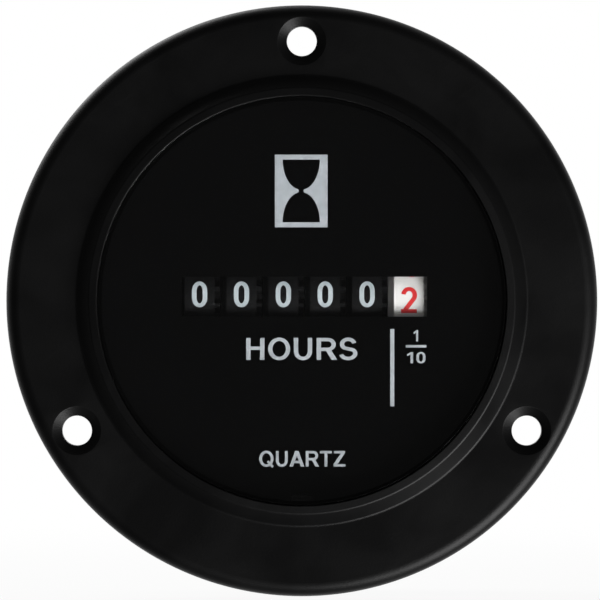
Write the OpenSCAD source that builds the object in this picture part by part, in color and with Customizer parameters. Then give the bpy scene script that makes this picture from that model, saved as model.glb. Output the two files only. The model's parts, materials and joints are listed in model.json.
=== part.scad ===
// Round flange-mounted hour meter with a six-wheel counter and a stepping motor.
// The dial faces -Y. The origin lies on the axis of the case, on the rear face of the flange.
// Pieces are drawn in dial coordinates, x right, y up and z to the front, and then set upright.

/* [Flange] */
// Width of the flange, from the foot of the bezel to the outer edge
flange_w = 8.5; // [7.6:0.1:12]
// Thickness of the flange
flange_t = 3.6; // [2.6:0.1:6]
// Radius of the outer front edge
flange_round = 1.6; // [0.6:0.1:2.4]
// Number of mounting holes
hole_count = 3; // [2:1:6]
// Diameter of a mounting hole
hole_d = 3.6; // [2.8:0.1:4.4]
// Diameter of the countersink round a mounting hole
countersink_d = 5.8; // [4.8:0.1:6.8]
// Full angle of the countersink
countersink_angle = 110; // [82:1:120]

/* [Bezel and lens] */
// Height of the bezel above the flange
bezel_h = 1.7; // [1:0.1:3]
// Width of the bezel's outer slope
bezel_slope_w = 1.35; // [0.8:0.05:3]
// Width of the bezel's top, from the lens to the slope
bezel_land_w = 1.1; // [0.9:0.05:2]
// Radius of the bezel's crest
crest_round = 0.9; // [0.2:0.05:1.1]
// Radius of the hollow at the foot of the slope
foot_round = 0.9; // [0.3:0.05:3]
// Depth of the lens below the crest
lens_drop = 0.35; // [0.1:0.05:1]
// Thickness of the lens
lens_t = 1.8; // [1:0.1:3]
// Bevel round the front edge of the lens
lens_bevel = 0.25; // [0.1:0.05:0.5]
// Width of the ledge that carries the lens
lens_ledge_w = 0.65; // [0.5:0.05:2]
// Thickness of the seal under the lens
seal_t = 0.5; // [0.3:0.1:1]

/* [Case] */
// Diameter of the barrel behind the panel
barrel_d = 51.8; // [47:0.1:60]
// Wall of the barrel
barrel_wall = 1.5; // [1:0.1:1.8]
// Thickness of the lip that the dial lies against
lip_t = 0.8; // [0.5:0.1:1.6]
// How far the lip reaches in from the bore
lip_w = 0.5; // [0.3:0.1:1]
// Width of the rib that keys the dial, the frame and the board
key_w = 2.4; // [1.6:0.1:4]
// Height of that rib above the bore
key_h = 1; // [0.6:0.1:1.4]
// Thickness of the rear cover
cover_t = 2; // [1.4:0.1:3]
// Length of the cover's spigot, which holds the board in place
spigot_len = 3.6; // [3:0.1:6]
// Wall of the spigot
spigot_wall = 1.6; // [1.2:0.1:2.4]

/* [Dial and frame] */
// Thickness of the dial
dial_t = 0.5; // [0.3:0.1:1]
// Height of the counter's window in the dial
window_h = 4.8; // [4:0.1:6]
// Room between the window's ends and the outer number wheels
window_side = 0.35; // [0.2:0.05:0.8]
// Thickness of the frame's front plate
plate_t = 1.4; // [1:0.1:2]
// Thickness of the frame's upright walls
wall_t = 1.2; // [0.9:0.1:1.8]
// Diameter of a post that carries the board
post_d = 4.4; // [3.8:0.1:5]

/* [Counter] */
// Diameter of a number wheel
wheel_d = 14; // [13:0.1:15.6]
// Distance from one number wheel to the next
digit_pitch = 5.04; // [4.7:0.02:5.5]
// Width of a number wheel's printed rim
rim_w = 3.6; // [3.2:0.1:3.8]
// Wall under the printed rim
rim_t = 1.3; // [0.8:0.1:1.6]
// Diameter of a number wheel's hub
hub_d = 4.8; // [3.6:0.1:6]
// Sideways place of the middle of the counter
counter_x = 0.3; // [-0.5:0.1:0.6]
// Height of the counter's shaft above the middle of the dial
counter_y = 0.5; // [0:0.1:1]
// Room between the dial and the number wheels
wheel_setback = 0.6; // [0.4:0.1:1.2]
// Diameter of the shaft that carries the number wheels
wheel_shaft_d = 2; // [1.5:0.1:2.6]
// Diameter of the shaft that carries the carry pinions
pinion_shaft_d = 1.5; // [1:0.1:1.8]

/* [Gear train] */
// Module of the two fine gear pairs
fine_module = 0.25; // [0.22:0.01:0.27]
// Width of a fine gear
gear_w = 0.8; // [0.6:0.1:1]
// Width of the gear on the tenths wheel
drive_gear_w = 1; // [0.8:0.1:1.4]
// Diameter of a gear stud
stud_d = 1; // [0.8:0.1:1.1]
// Diameter of the rotor's shaft
rotor_shaft_d = 0.9; // [0.7:0.1:1]

/* [Motor] */
// Diameter of the rotor's magnet
magnet_d = 4.8; // [4:0.1:5.4]
// Thickness of the rotor's magnet
magnet_t = 1.6; // [1.2:0.1:2]
// Air gap between the magnet and the stator
air_gap = 0.5; // [0.3:0.05:0.7]
// Width of the stator beside the air gap
pole_w = 1; // [0.8:0.1:1.3]
// Thickness of the stator
stator_t = 1; // [0.8:0.1:1.2]
// Thickness of the coil's core
core_t = 1; // [0.8:0.1:1.2]
// Width of the coil's core
core_w = 1.6; // [1.2:0.1:1.8]
// Width of the legs that join the core to the stator
leg_w = 2.4; // [2:0.1:3]
// Height of those legs
leg_h = 2.6; // [2:0.1:3.2]
// Length of the coil over its flanges
coil_len = 7; // [6.4:0.1:8]
// Diameter of the coil's flanges
coil_d = 5; // [4:0.1:5.6]

/* [Board and terminals] */
// Thickness of the board
board_t = 1.6; // [1:0.1:2]
// Distance between the two terminal blades
blade_gap = 19; // [16:0.5:22]
// Width of a blade
blade_w = 6.35; // [4.8:0.05:6.4]
// Thickness of a blade
blade_t = 0.8; // [0.5:0.1:1]
// Length of a blade outside the cover
blade_out = 8.4; // [7:0.1:11]
// Height of the collars that stand round the blades
collar_h = 1.2; // [0.6:0.1:2]

/* [Hidden] */
$fn = 96;

// Clearances: between fixed pieces, round turning shafts, beside wheels, and where pieces pass
fit_gap = 0.05;
run_gap = 0.05;
side_gap = 0.12;
pass_gap = 0.3;
// Clearances in the bore: round the dial and the frame, the board, and the cover's spigot
plate_gap = 0.15;
board_gap = 0.6;
spigot_gap = 0.1;
post_gap = 1.9;
// Extra length of a cut past the face it leaves
over = 1;
// Finest step round a rounded edge
round_steps = 10;

// Radii of the case, from the bore outwards
barrel_r = barrel_d / 2;
bore_r = barrel_r - barrel_wall;
lip_r = bore_r - lip_w;
lens_r = lip_r + lens_ledge_w;
seat_r = lens_r + fit_gap;
top_r = seat_r + bezel_land_w;
foot_r = top_r + bezel_slope_w;
flange_r = foot_r + flange_w;
// The hole circle runs just inside the middle of the flange
hole_inset = 0.1;
hole_circle_r = (foot_r + flange_r) / 2 - hole_inset;
plate_r = bore_r - plate_gap;

// Depths from the flange's rear face, front positive
crest = flange_t + bezel_h;
lens_front = crest - lens_drop;
lens_back = lens_front - lens_t;
seat_floor = lens_back - seal_t;
// Slope of the bezel, and the radius of the edge round the lens
bezel_slope = atan2(bezel_h, bezel_slope_w);
land_round = 0.3;
dial_front = seat_floor - lip_t;
dial_back = dial_front - dial_t;
plate_back = dial_back - plate_t;

// Gear teeth
addendum = 0.9;
dedendum = 1.15;
pressure_angle = 20;
coarse_backlash = 0.1;
fine_backlash = 0.07;

// Counter: number wheels, their ring gears and the carry pinions behind them
last_place = 5;
wheel_r = wheel_d / 2;
wheel_axis = [counter_y, dial_back - wheel_setback - wheel_r];
rim_gap = digit_pitch - rim_w;
side_w = (rim_gap - side_gap) / 2;
web_t = 1;
ring_teeth = 20;
pinion_teeth = 8;
// Depth of the gears' tips below the printed rim
ring_drop = 0.4;
drive_drop = 0.5;
carry_module = (wheel_d - 2 * ring_drop) / (ring_teeth + 2);
carry_distance = carry_module * (ring_teeth + pinion_teeth) / 2;
pinion_axis = wheel_axis + polar(carry_distance, -90);
pinion_tip_r = carry_module * (pinion_teeth / 2 + addendum);
pinion_w = rim_gap - 2 * side_gap;
// The carry disc stays clear of the pinion's long teeth
carry_gap = 0.25;
carry_disc_r = carry_distance - pinion_tip_r - carry_gap;
carry_notch_r = 0.5;
carry_notch_step = 20;
// Turn of a carry disc's notches on a wheel that shows zero
zero_turn = 252;
// How far the tenths wheel has turned past zero
tenths_turn = 67;

// Gear train from the tenths wheel to the rotor, as axes in the plane of height and depth
drive_teeth = 24;
drive_pinion_teeth = 12;
large_teeth = 40;
small_teeth = 8;
drive_module = (wheel_d - 2 * drive_drop) / (drive_teeth + 2);
drive_distance = drive_module * (drive_teeth + drive_pinion_teeth) / 2;
fine_distance = fine_module * (large_teeth + small_teeth) / 2;
drive_angle = 182;
reduction_angle = -70;
rotor_angle = 250;
drive_axis = wheel_axis + polar(drive_distance, drive_angle);
reduction_axis = drive_axis + polar(fine_distance, reduction_angle);
rotor_axis = reduction_axis + polar(fine_distance, rotor_angle);

// Planes of the gear train along the shafts
drive_x = wheel_x(0) + rim_w / 2;
drive_gear_x = drive_x + drive_gear_w + 2 * side_gap;
reduction_gear_x = drive_gear_x + gear_w + pass_gap;
right_wall_x = reduction_gear_x + gear_w + pass_gap;
left_wall_x = wheel_x(last_place) - rim_w / 2 - side_w - side_gap;
stud_head_r = 1.05;
stud_head_t = 0.35;
shaft_end = 0.3;
spacer_wall = 0.8;

// Motor: the stator and the coil's core make a loop round the frame's motor wall
magnet_r = magnet_d / 2;
rotor_hole_r = magnet_r + air_gap;
stator_half_w = rotor_hole_r + pole_w;
stator_side = 1;
stator_x = drive_x - stator_side - stator_t;
magnet_x = stator_x + (stator_t - magnet_t) / 2;
motor_wall_x = magnet_x - pass_gap - wall_t;
coil_r = coil_d / 2;
coil_x = motor_wall_x - pass_gap - coil_r;
core_x = coil_x - core_t / 2;
leg_gap = 0.25;
stator_half_len = coil_len / 2 + leg_gap + leg_w;
stator_top = rotor_axis[0] + stator_half_len;
stator_bottom = rotor_axis[0] - stator_half_len;
coil_top = rotor_axis[0] + coil_len / 2;
coil_bottom = rotor_axis[0] - coil_len / 2;
stator_notch_r = 0.45;
bobbin_flange_t = 0.5;
bobbin_wall = 0.4;
bobbin_tube_r = norm([core_t, core_w]) / 2 + bobbin_wall;
winding_drop = 0.3;
winding_r = coil_r - winding_drop;
motor_screw_r = 0.6;
motor_screw_len = 4;
motor_screw_head_r = 1.1;
motor_screw_head_t = 0.7;
motor_screw_ys = [stator_top - leg_w / 2, stator_bottom + leg_w / 2];

// Frame walls: land round their pivots, cut corners and pads for the stator
pivot_land = 2;
shaft_land = 4.5;
wall_corner = 2.5;
opening_gap = 0.5;
wheel_clear = 0.8;
pad_r = 0.7;
pad_out = [coil_len / 2 - pad_r, rotor_hole_r + pad_r / 2];

// Board, rear cover and terminals
board_clear = 0.85;
board_front = min(pinion_axis[1] - pinion_tip_r, rotor_axis[1] - stator_half_w) - board_clear;
board_back = board_front - board_t;
board_r = bore_r - board_gap;
barrel_end = board_back - spigot_len;
cover_back = barrel_end - cover_t;
cover_round = 1;
spigot_r = bore_r - spigot_gap;
post_circle_r = bore_r - post_d / 2 - post_gap;
post_angles = [45, 135, 247];
board_screw_r = 0.9;
board_screw_len = 7;
board_screw_head_r = 1.8;
board_screw_head_t = 1.2;
screw_slot_w = 0.5;
screw_slot_depth = 0.45;
tail_w = 2.6;
tail_out = 0.7;
blade_taper = 1.2;
blade_hole_r = 0.8;
blade_hole_shift = 0.6;
blade_tip = cover_back - blade_out;
collar_wall = 1.2;
seal_set = 0.15;

// Parts on the board, in dial coordinates
lead_r = 0.25;
capacitor_r = 2.5;
capacitor_len = 7;
capacitor_foot = 1;
capacitor_groove = 0.25;
capacitor_at = [0, 14];
crystal_r = 1;
crystal_len = 6;
crystal_lead_gap = 0.7;
crystal_at = [0, 8.5];
chip_size = [5, 3.9, 1.4];
chip_at = [0, -7];
chip_leads = 4;
chip_lead_pitch = 1.27;
chip_lead_t = 0.2;
chip_lead_w = 0.4;
chip_lead_out = 1;
chip_lift = 0.1;
diode_r = 1.2;
diode_len = 4.2;
diode_at = [-4.5, 15];
resistor_r = 1.15;
resistor_len = 6.3;
resistor_at = [2, -14];
axial_lead_run = 2;

function polar(r, a) = [r * cos(a), r * sin(a)];
function wheel_x(place) = counter_x + (last_place / 2 - place) * digit_pitch;
function arc(centre, r, from, to) =
    [for (i = [0:round_steps]) centre + polar(r, from + (to - from) * i / round_steps)];

// Involute teeth, as points from root to tip on one flank and back on the other
function involute(base_r, r) = let (a = acos(min(1, base_r / r))) tan(a) * 180 / PI - a;
function half_tooth(teeth, m, backlash, r) =
    let (pitch_r = teeth * m / 2, base_r = pitch_r * cos(pressure_angle))
    90 / teeth - backlash / pitch_r * 90 / PI
        + involute(base_r, pitch_r) - involute(base_r, max(r, base_r));
function flank_radii(teeth, m, steps) =
    let (pitch_r = teeth * m / 2, root_r = pitch_r - dedendum * m)
    let (start_r = max(root_r, pitch_r * cos(pressure_angle)))
    concat(
        root_r < start_r ? [root_r] : [],
        [for (i = [0:steps]) start_r + (pitch_r + addendum * m - start_r) * i / steps]
    );
function gear_points(teeth, m, backlash, steps) =
    let (radii = flank_radii(teeth, m, steps), last = len(radii) - 1)
    [
        for (tooth = [0:teeth - 1], side = [-1, 1], i = [0:last])
            let (r = radii[side < 0 ? i : last - i])
            polar(r, tooth * 360 / teeth + side * half_tooth(teeth, m, backlash, r))
    ];

module upright() {
    rotate([90, 0, 0]) children();
}

// A round bar along x, at a height and a depth
module rod(at, x0, x1, r) {
    translate([x0, at[0], at[1]]) rotate([0, 90, 0]) cylinder(h = x1 - x0, r = r);
}

// An outline drawn as height and depth, given its thickness along x
module slab(x0, x1, at = [0, 0]) {
    translate([x0, at[0], at[1]]) rotate([90, 0, 90]) linear_extrude(x1 - x0) children();
}

// A round bar along y, at a place and a depth
module upright_rod(x, z, y0, y1, r) {
    translate([x, y0, z]) rotate([-90, 0, 0]) cylinder(h = y1 - y0, r = r);
}

module gear(at, x0, x1, teeth, m, backlash, turn, steps = 2) {
    slab(x0, x1, at) rotate(turn) polygon(gear_points(teeth, m, backlash, steps));
}

// Slot for the key rib at the bottom of the case
module key_slot(z0, z1) {
    translate([-key_w / 2 - fit_gap, -bore_r - over, z0])
        cube([key_w + 2 * fit_gap, key_h + over + 2 * fit_gap, z1 - z0]);
}

// Case and its front

module case_section() {
    edge = [flange_r - flange_round, flange_t - flange_round];
    foot = [foot_r + foot_round * tan(bezel_slope / 2), flange_t + foot_round];
    top = [top_r - crest_round * tan(bezel_slope / 2), crest - crest_round];
    lens_edge = [seat_r + land_round, crest - land_round];
    polygon(concat(
        [[bore_r, barrel_end], [barrel_r, barrel_end], [barrel_r, 0], [flange_r, 0]],
        arc(edge, flange_round, 0, 90),
        arc(foot, foot_round, 270, 270 - bezel_slope),
        arc(top, crest_round, 90 - bezel_slope, 90),
        arc(lens_edge, land_round, 90, 180),
        [[seat_r, seat_floor], [lip_r, seat_floor]],
        [[lip_r, dial_front], [bore_r, dial_front]]
    ));
}

module bezel_case() {
    sink_depth = (countersink_d - hole_d) / 2 / tan(countersink_angle / 2);
    color("#1d1d1e") upright() difference() {
        union() {
            rotate_extrude() case_section();
            translate([-key_w / 2, -bore_r - barrel_wall / 2, board_back])
                cube([key_w, key_h + barrel_wall / 2, dial_front - board_back]);
        }
        for (i = [0:hole_count - 1]) rotate(90 + 360 * i / hole_count) translate([hole_circle_r, 0, 0]) {
            translate([0, 0, -over]) cylinder(h = flange_t + 2 * over, d = hole_d);
            translate([0, 0, flange_t - sink_depth])
                cylinder(h = sink_depth, d1 = hole_d, d2 = countersink_d);
            translate([0, 0, flange_t]) cylinder(h = over, d = countersink_d);
        }
    }
}

module lens() {
    color("#dfe8ee", 0.35) upright() rotate_extrude() polygon([
        [0, lens_back], [lens_r, lens_back], [lens_r, lens_front - lens_bevel],
        [lens_r - lens_bevel, lens_front], [0, lens_front]
    ]);
}

module lens_seal() {
    color("#161616") upright() translate([0, 0, seat_floor]) difference() {
        cylinder(h = seal_t, r = seat_r - fit_gap);
        translate([0, 0, -over]) cylinder(h = seal_t + 2 * over, r = lip_r + seal_set);
    }
}

module dial() {
    window_w = last_place * digit_pitch + rim_w + 2 * window_side;
    color("#0c0c0d") upright() difference() {
        translate([0, 0, dial_back]) cylinder(h = dial_t, r = plate_r);
        translate([counter_x - window_w / 2, counter_y - window_h / 2, dial_back - over])
            cube([window_w, window_h, dial_t + 2 * over]);
        key_slot(dial_back - over, dial_front + over);
    }
}

// Frame of the movement

module wall_outline(bottom, top, rear) {
    polygon([
        [bottom, dial_back], [top, dial_back], [top, rear + wall_corner], [top - wall_corner, rear],
        [bottom + wall_corner, rear], [bottom, rear + wall_corner]
    ]);
}

// The motor wall passes under the number wheels and widens behind them
module motor_wall_outline() {
    step_z = wheel_axis[1] - wheel_r - pass_gap;
    step_y = wheel_axis[0] - wheel_r - wheel_clear;
    rear = rotor_axis[1] - pad_out[1] - pad_r;
    low = coil_bottom + leg_gap;
    high = coil_top - leg_gap;
    polygon([
        [low, dial_back], [step_y, dial_back], [step_y, step_z], [high, step_z],
        [high, rear], [low, rear]
    ]);
}

module frame_walls() {
    low = min(rotor_axis[0], drive_axis[0]) - pivot_land;
    rear = min(pinion_axis[1], rotor_axis[1]) - pivot_land;
    slab(left_wall_x - wall_t, left_wall_x)
        wall_outline(counter_y - shaft_land, counter_y + shaft_land, pinion_axis[1] - pivot_land);
    slab(right_wall_x, right_wall_x + wall_t)
        wall_outline(low, counter_y + shaft_land, rear);
    slab(motor_wall_x, motor_wall_x + wall_t) motor_wall_outline();
    for (y = [-1, 1], z = [-1, 1])
        rod(rotor_axis + [y * pad_out[0], z * pad_out[1]], motor_wall_x + wall_t / 2, stator_x, pad_r);
}

module frame_holes() {
    right_end = right_wall_x + wall_t + over;
    rod(wheel_axis, left_wall_x - wall_t - over, right_end, wheel_shaft_d / 2 + fit_gap);
    rod(pinion_axis, left_wall_x - wall_t - over, right_end, pinion_shaft_d / 2 + fit_gap);
    rod(drive_axis, right_wall_x - over, right_end, stud_d / 2 + fit_gap);
    rod(reduction_axis, right_wall_x - over, right_end, stud_d / 2 + fit_gap);
    rod(rotor_axis, motor_wall_x - over, right_end, rotor_shaft_d / 2 + run_gap);
}

// The opening round the number wheels, wide enough for their reach through the plate
module wheel_opening() {
    reach = wheel_r + wheel_setback - plate_t;
    half_h = max(sqrt(max(0, wheel_r * wheel_r - reach * reach)), window_h / 2) + opening_gap;
    x0 = left_wall_x;
    x1 = drive_x + drive_gear_w + opening_gap;
    translate([x0, counter_y - half_h, plate_back - over])
        cube([x1 - x0, 2 * half_h, plate_t + 2 * over]);
}

module movement_frame() {
    color("#e6e4dc") upright() difference() {
        intersection() {
            union() {
                translate([0, 0, plate_back]) cylinder(h = plate_t, r = plate_r);
                frame_walls();
                for (a = post_angles) rotate(a) translate([post_circle_r, 0, board_front])
                    cylinder(h = plate_back - board_front + plate_t / 2, d = post_d);
            }
            translate([0, 0, board_front]) cylinder(h = dial_back - board_front, r = plate_r);
        }
        wheel_opening();
        frame_holes();
        for (a = post_angles) rotate(a) translate([post_circle_r, 0, board_front - over])
            cylinder(h = board_screw_len + over, r = board_screw_r + fit_gap);
        key_slot(board_front - over, dial_back + over);
    }
}

module wheel_shaft() {
    color("silver") upright()
        rod(wheel_axis, left_wall_x - wall_t - shaft_end, right_wall_x + wall_t + shaft_end, wheel_shaft_d / 2);
}

module pinion_shaft() {
    color("silver") upright()
        rod(pinion_axis, left_wall_x - wall_t - shaft_end, right_wall_x + wall_t + shaft_end, pinion_shaft_d / 2);
}

module shaft_spacer() {
    x0 = drive_x + drive_gear_w + side_gap;
    color("gainsboro") upright() difference() {
        rod(wheel_axis, x0, right_wall_x, wheel_shaft_d / 2 + spacer_wall);
        rod(wheel_axis, x0 - over, right_wall_x + over, wheel_shaft_d / 2 + fit_gap);
    }
}

// Counter

module carry_disc_outline(turn) {
    difference() {
        circle(r = carry_disc_r);
        for (i = [-1:1]) rotate(turn + i * carry_notch_step)
            translate([carry_disc_r, 0]) circle(r = carry_notch_r);
    }
}

module number_wheel(place) {
    x = wheel_x(place);
    left = x - rim_w / 2;
    right = x + rim_w / 2;
    notch_turn = zero_turn - (place == 0 ? tenths_turn : 0);
    color(place == 0 ? "#f2f2ee" : "#141415") upright() difference() {
        union() {
            difference() {
                rod(wheel_axis, left, right, wheel_r);
                rod(wheel_axis, left - over, right - web_t, wheel_r - rim_t);
            }
            rod(wheel_axis, left - side_w, right, hub_d / 2);
            if (place < last_place)
                slab(left - side_w, left, wheel_axis) carry_disc_outline(notch_turn);
            if (place > 0)
                gear(wheel_axis, right - web_t / 2, right + side_w, ring_teeth, carry_module, coarse_backlash,
                    -90 + 180 / ring_teeth);
            else
                gear(wheel_axis, right - web_t / 2, right + drive_gear_w, drive_teeth, drive_module,
                    coarse_backlash, drive_angle);
        }
        rod(wheel_axis, left - side_w - over, right + drive_gear_w + over, wheel_shaft_d / 2 + run_gap);
    }
}

module number_wheel_tenths() { number_wheel(0); }
module number_wheel_ones() { number_wheel(1); }
module number_wheel_tens() { number_wheel(2); }
module number_wheel_hundreds() { number_wheel(3); }
module number_wheel_thousands() { number_wheel(4); }
module number_wheel_ten_thousands() { number_wheel(5); }

// Every second tooth of a carry pinion runs on over the carry disc of the next lower wheel
module long_teeth_outline() {
    half_step = 180 / pinion_teeth;
    reach = 2 * pinion_tip_r;
    circle(r = carry_module * (pinion_teeth / 2 - dedendum));
    intersection() {
        rotate(90) polygon(gear_points(pinion_teeth, carry_module, coarse_backlash, 2));
        for (a = [45:90:315]) rotate(a)
            polygon([[0, 0], polar(reach, -half_step), polar(reach, half_step)]);
    }
}

module carry_pinion(place) {
    x = (wheel_x(place) + wheel_x(place - 1)) / 2;
    color("ivory") upright() difference() {
        union() {
            gear(pinion_axis, x - pinion_w / 2, x, pinion_teeth, carry_module, coarse_backlash, 90);
            slab(x - pinion_w / 4, x + pinion_w / 2, pinion_axis) long_teeth_outline();
        }
        rod(pinion_axis, x - pinion_w, x + pinion_w, pinion_shaft_d / 2 + run_gap);
    }
}

module carry_pinion_ones() { carry_pinion(1); }
module carry_pinion_tens() { carry_pinion(2); }
module carry_pinion_hundreds() { carry_pinion(3); }
module carry_pinion_thousands() { carry_pinion(4); }
module carry_pinion_ten_thousands() { carry_pinion(5); }

// Gear train

module drive_gear() {
    x0 = drive_x + side_gap;
    color("ivory") upright() difference() {
        union() {
            gear(drive_axis, x0, drive_gear_x + gear_w / 2, drive_pinion_teeth, drive_module, coarse_backlash,
                drive_angle + 180 + 180 / drive_pinion_teeth);
            gear(drive_axis, drive_gear_x, drive_gear_x + gear_w, large_teeth, fine_module,
                fine_backlash, reduction_angle, 1);
        }
        rod(drive_axis, x0 - over, drive_gear_x + gear_w + over, stud_d / 2 + run_gap);
    }
}

module reduction_gear() {
    x0 = drive_gear_x - side_gap;
    color("ivory") upright() difference() {
        union() {
            gear(reduction_axis, x0, reduction_gear_x + gear_w / 2, small_teeth, fine_module, fine_backlash,
                reduction_angle + 180 + 180 / small_teeth);
            gear(reduction_axis, reduction_gear_x, reduction_gear_x + gear_w, large_teeth,
                fine_module, fine_backlash, rotor_angle, 1);
        }
        rod(reduction_axis, x0 - over, reduction_gear_x + gear_w + over, stud_d / 2 + run_gap);
    }
}

// A headed pin from the right wall, with the gear trapped under its head
module gear_stud(at, x0) {
    color("silver") upright() {
        rod(at, x0, right_wall_x + wall_t + shaft_end, stud_d / 2);
        rod(at, x0 - stud_head_t, x0, stud_head_r);
        rod(at, x0 - stud_head_t / 2, x0, stud_d / 2);
    }
}

module drive_gear_stud() { gear_stud(drive_axis, drive_x); }
module reduction_gear_stud() { gear_stud(reduction_axis, drive_gear_x - 2 * side_gap); }

module rotor_pinion() {
    color("ivory") upright() {
        rod(rotor_axis, motor_wall_x, right_wall_x + wall_t, rotor_shaft_d / 2);
        gear(rotor_axis, reduction_gear_x - side_gap, right_wall_x - side_gap, small_teeth,
            fine_module, fine_backlash, rotor_angle + 180 + 180 / small_teeth);
    }
}

// Motor

module rotor_magnet() {
    color("#4a4a4d") upright() difference() {
        rod(rotor_axis, magnet_x, magnet_x + magnet_t, magnet_r);
        rod(rotor_axis, magnet_x - over, magnet_x + magnet_t + over, rotor_shaft_d / 2);
    }
}

module stator() {
    color("#b9bcc0") upright() difference() {
        slab(stator_x, stator_x + stator_t) difference() {
            translate([stator_bottom, rotor_axis[1] - stator_half_w])
                square([stator_top - stator_bottom, 2 * stator_half_w]);
            translate(rotor_axis) {
                circle(r = rotor_hole_r);
                for (a = [45, 225]) rotate(a) translate([rotor_hole_r, 0]) circle(r = stator_notch_r);
                for (side = [-1, 1]) translate([0, side * stator_half_w]) circle(r = stator_notch_r);
            }
        }
        for (y = motor_screw_ys)
            rod([y, rotor_axis[1]], stator_x - over, stator_x + stator_t + over, motor_screw_r + fit_gap);
    }
}

module coil_core() {
    z = rotor_axis[1];
    color("#b9bcc0") upright() difference() {
        union() {
            translate([core_x, stator_bottom, z - core_w / 2])
                cube([core_t, stator_top - stator_bottom, core_w]);
            for (y = [stator_bottom, stator_top - leg_w]) translate([core_x, y, z - leg_h / 2])
                cube([stator_x - core_x, leg_w, leg_h]);
        }
        for (y = motor_screw_ys)
            rod([y, z], stator_x - motor_screw_len, stator_x + over, motor_screw_r + fit_gap);
    }
}

module coil_bobbin() {
    slot = [core_t + 2 * fit_gap, coil_len + 2 * over, core_w + 2 * fit_gap];
    color("ivory") upright() difference() {
        union() {
            upright_rod(coil_x, rotor_axis[1], coil_bottom, coil_top, bobbin_tube_r);
            upright_rod(coil_x, rotor_axis[1], coil_bottom, coil_bottom + bobbin_flange_t, coil_r);
            upright_rod(coil_x, rotor_axis[1], coil_top - bobbin_flange_t, coil_top, coil_r);
        }
        translate([coil_x, (coil_top + coil_bottom) / 2, rotor_axis[1]]) cube(slot, center = true);
    }
}

module coil_winding() {
    y0 = coil_bottom + bobbin_flange_t;
    y1 = coil_top - bobbin_flange_t;
    color("#b5622d") upright() difference() {
        upright_rod(coil_x, rotor_axis[1], y0, y1, winding_r);
        upright_rod(coil_x, rotor_axis[1], y0 - over, y1 + over, bobbin_tube_r);
    }
}

module motor_screws() {
    head_x = stator_x + stator_t;
    color("silver") upright() for (y = motor_screw_ys) difference() {
        union() {
            rod([y, rotor_axis[1]], stator_x - motor_screw_len + fit_gap, head_x, motor_screw_r);
            rod([y, rotor_axis[1]], head_x, head_x + motor_screw_head_t, motor_screw_head_r);
        }
        translate([head_x + motor_screw_head_t, y, rotor_axis[1]])
            cube([2 * screw_slot_depth, screw_slot_w, 3 * motor_screw_head_r], center = true);
    }
}

// Board and what it carries

module circuit_board() {
    color("#1f5b34") upright() difference() {
        translate([0, 0, board_back]) cylinder(h = board_t, r = board_r);
        for (a = post_angles) rotate(a) translate([post_circle_r, 0, board_back - over])
            cylinder(h = board_t + 2 * over, r = board_screw_r + pass_gap);
        for (side = [-1, 1]) translate([side * blade_gap / 2, 0, board_back + board_t / 2])
            cube([blade_t + 2 * fit_gap, tail_w + 2 * fit_gap, board_t + 2 * over], center = true);
        key_slot(board_back - over, board_front + over);
    }
}

module board_screws() {
    color("silver") upright() for (a = post_angles) rotate(a) translate([post_circle_r, 0, 0]) difference() {
        union() {
            translate([0, 0, board_back])
                cylinder(h = board_t + board_screw_len - over, r = board_screw_r);
            translate([0, 0, board_back - board_screw_head_t])
                cylinder(h = board_screw_head_t, r = board_screw_head_r);
        }
        translate([0, 0, board_back - board_screw_head_t])
            cube([screw_slot_w, 3 * board_screw_head_r, 2 * screw_slot_depth], center = true);
    }
}

// A round part lying on the back of the board, with leads bent down to it
module axial_part(at, r, length, tint) {
    axis_z = board_back - r;
    lead_x = length / 2 + axial_lead_run;
    color(tint) upright() translate([at[0], at[1], 0]) {
        rod([0, axis_z], -length / 2, length / 2, r);
        rod([0, axis_z], -lead_x - lead_r, lead_x + lead_r, lead_r);
        for (side = [-1, 1]) translate([side * lead_x, 0, axis_z]) cylinder(h = r, r = lead_r);
    }
}

module rectifier_diode() { axial_part(diode_at, diode_r, diode_len, "#222224"); }
module input_resistor() { axial_part(resistor_at, resistor_r, resistor_len, "#c9b48a"); }

module quartz_crystal() {
    axis_z = board_back - crystal_r;
    end_x = crystal_at[0] + crystal_len / 2;
    color("gainsboro") upright() {
        rod([crystal_at[1], axis_z], crystal_at[0] - crystal_len / 2, end_x, crystal_r);
        for (side = [-1, 1]) {
            y = crystal_at[1] + side * crystal_lead_gap / 2;
            rod([y, axis_z], end_x, end_x + axial_lead_run + lead_r / 2, lead_r / 2);
            translate([end_x + axial_lead_run, y, axis_z]) cylinder(h = crystal_r, r = lead_r / 2);
        }
    }
}

module timer_chip() {
    row = (chip_leads - 1) * chip_lead_pitch;
    shoulder = chip_lift + chip_size[2] / 2;
    color("#232326") upright() translate([chip_at[0], chip_at[1], board_back]) {
        translate([-chip_size[0] / 2, -chip_size[1] / 2, -chip_size[2] - chip_lift]) cube(chip_size);
        for (side = [0, 180], i = [0:chip_leads - 1]) rotate(side)
            translate([i * chip_lead_pitch - row / 2 - chip_lead_w / 2, chip_size[1] / 2, 0]) {
                translate([0, -chip_lead_t, -shoulder]) cube([chip_lead_w, 2 * chip_lead_t, chip_lead_t]);
                translate([0, 0, -shoulder]) cube([chip_lead_w, chip_lead_t, shoulder]);
                translate([0, 0, -chip_lead_t]) cube([chip_lead_w, chip_lead_out, chip_lead_t]);
            }
    }
}

module smoothing_capacitor() {
    dip = capacitor_r - capacitor_groove;
    color("#2b3040") upright() translate([capacitor_at[0], capacitor_at[1], board_front])
        rotate_extrude() polygon([
            [0, 0], [capacitor_r, 0], [capacitor_r, capacitor_foot],
            [dip, capacitor_foot + capacitor_groove],
            [capacitor_r, capacitor_foot + 2 * capacitor_groove],
            [capacitor_r, capacitor_len - capacitor_groove], [dip, capacitor_len], [0, capacitor_len]
        ]);
}

// Rear cover and terminals

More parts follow.
